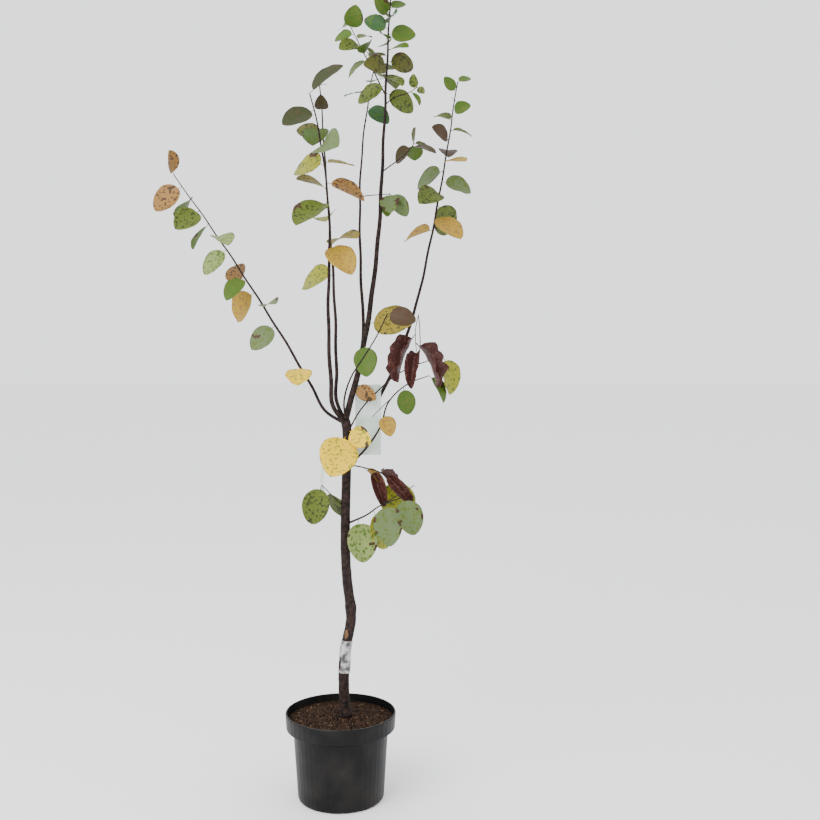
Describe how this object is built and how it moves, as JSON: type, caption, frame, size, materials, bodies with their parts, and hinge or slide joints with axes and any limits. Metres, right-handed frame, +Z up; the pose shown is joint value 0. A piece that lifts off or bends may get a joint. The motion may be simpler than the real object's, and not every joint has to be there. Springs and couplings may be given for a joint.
{
  "type": "potted tree",
  "caption": "Young quince tree in autumn leaf, with open upright shoots above a crooked trunk, growing in a round tapered nursery pot with a wide lip.",
  "frame": {"origin": "middle of the pot's flat underside, on the ground", "axes": "+Z up along the pot's axis, -Y towards the front of the tree, +X to its right"},
  "size_m": [0.7105, 0.3717, 1.8058],
  "materials": {
    "pot": "satin black plastic with dust",
    "compost": "dark fibrous compost",
    "label": "thin white plastic",
    "tape": "silver-grey tape",
    "bark": "dark red-brown bark",
    "dead_leaf": "dry dark leaves",
    "yellow_leaf": "bright yellow leaf",
    "gold_leaf": "dull gold leaf",
    "green_leaf": "green and olive leaves"
  },
  "bodies": {
    "root": {"back_left_bough": "bark", "back_left_wand": "green_leaf", "brown_shoot": "gold_leaf", "crown_top": "green_leaf", "front_left_bough": "bark", "front_left_wand": "green_leaf", "front_shoot": "gold_leaf", "grafting_tape": "tape", "label": "label", "leader_bough": "bark", "leaf_behind_trunk": "green_leaf", "leaf_fork_large": "yellow_leaf", "leaf_fork_small": "yellow_leaf", "leaf_leader_green": "green_leaf", "leaf_leader_tan": "gold_leaf", "leaf_leader_yellow": "gold_leaf", "leaf_left_bough": "bark", "left_bough": "bark", "left_wand": "green_leaf", "low_dead_spray": "dead_leaf", "low_left_spray": "green_leaf", "low_mottled_spray": "green_leaf", "lower_right_shoot": "green_leaf", "mid_right_twig": "green_leaf", "pot": "pot", "right_bough": "bark", "right_wand": "green_leaf", "second_bough": "bark", "second_side_twig": "green_leaf", "second_wand": "green_leaf", "soil": "compost", "trunk": "bark"}
  },
  "joints": []
}
